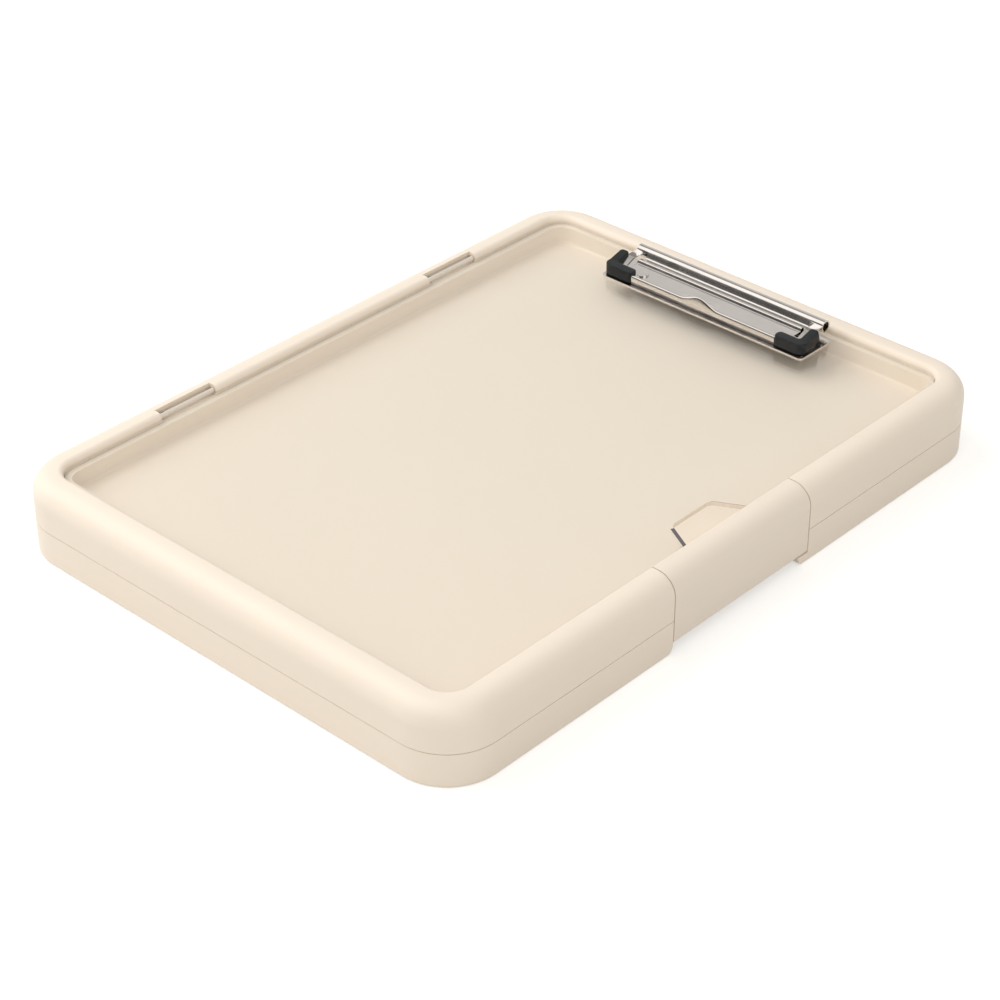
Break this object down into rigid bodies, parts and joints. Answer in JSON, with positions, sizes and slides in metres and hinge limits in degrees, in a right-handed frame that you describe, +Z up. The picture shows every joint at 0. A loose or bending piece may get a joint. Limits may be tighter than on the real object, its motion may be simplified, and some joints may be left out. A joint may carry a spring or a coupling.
{
  "type": "storage clipboard box",
  "caption": "Flat two-shell storage clipboard box with a clear hinged writing lid over a tray, a side latch and a low-profile spring clip with black jaw caps.",
  "frame": {"origin": "centre of the case outline, on the face it rests on", "axes": "+X towards the latch side, +Y towards the clip end, +Z up out of the lid"},
  "size_m": [0.2552, 0.341, 0.0423],
  "materials": {
    "case_plastic": "satin",
    "latch_plastic": "satin",
    "clear_plastic": "clear",
    "nickel_plate": "polished",
    "steel": "brushed",
    "black_cap": "matt"
  },
  "bodies": {
    "case": {"lower_shell": "case_plastic", "hinge_pin_front": "steel", "hinge_pin_rear": "steel"},
    "cover": {"upper_shell": "case_plastic", "lid_pin_front_outer": "steel", "lid_pin_front_inner": "steel", "lid_pin_rear_inner": "steel", "lid_pin_rear_outer": "steel", "latch_pin": "steel"},
    "lid": {"lid_panel": "clear_plastic", "clip_base": "nickel_plate", "clip_axle": "steel", "clip_spring": "steel", "rivet_left": "steel", "rivet_right": "steel", "rivet_washer_left": "steel", "rivet_washer_right": "steel"},
    "latch": {"latch": "latch_plastic"},
    "jaw": {"clip_jaw": "nickel_plate", "jaw_cap_left": "black_cap", "jaw_cap_right": "black_cap"}
  },
  "joints": [
    {"name": "case_hinge", "type": "hinge", "parent": "case", "child": "cover", "pos_m": [-0.126, 0, 0.016], "axis": [0, -1, 0], "range_deg": [0, 155]},
    {"name": "lid_hinge", "type": "hinge", "parent": "cover", "child": "lid", "pos_m": [-0.115, 0, 0.0335], "axis": [0, -1, 0], "range_deg": [0, 120]},
    {"name": "latch_hinge", "type": "hinge", "parent": "cover", "child": "latch", "pos_m": [0.115, 0, 0.0335], "axis": [0, -1, 0], "range_deg": [0, 90]},
    {"name": "clip_hinge", "type": "hinge", "parent": "lid", "child": "jaw", "pos_m": [-0.001, 0.1432, 0.0357], "axis": [-1, 0, 0], "range_deg": [0, 18], "stiffness_Nm_per_rad": 0.3, "springref_deg": -28.65, "deforming": ["clip_spring"]}
  ]
}
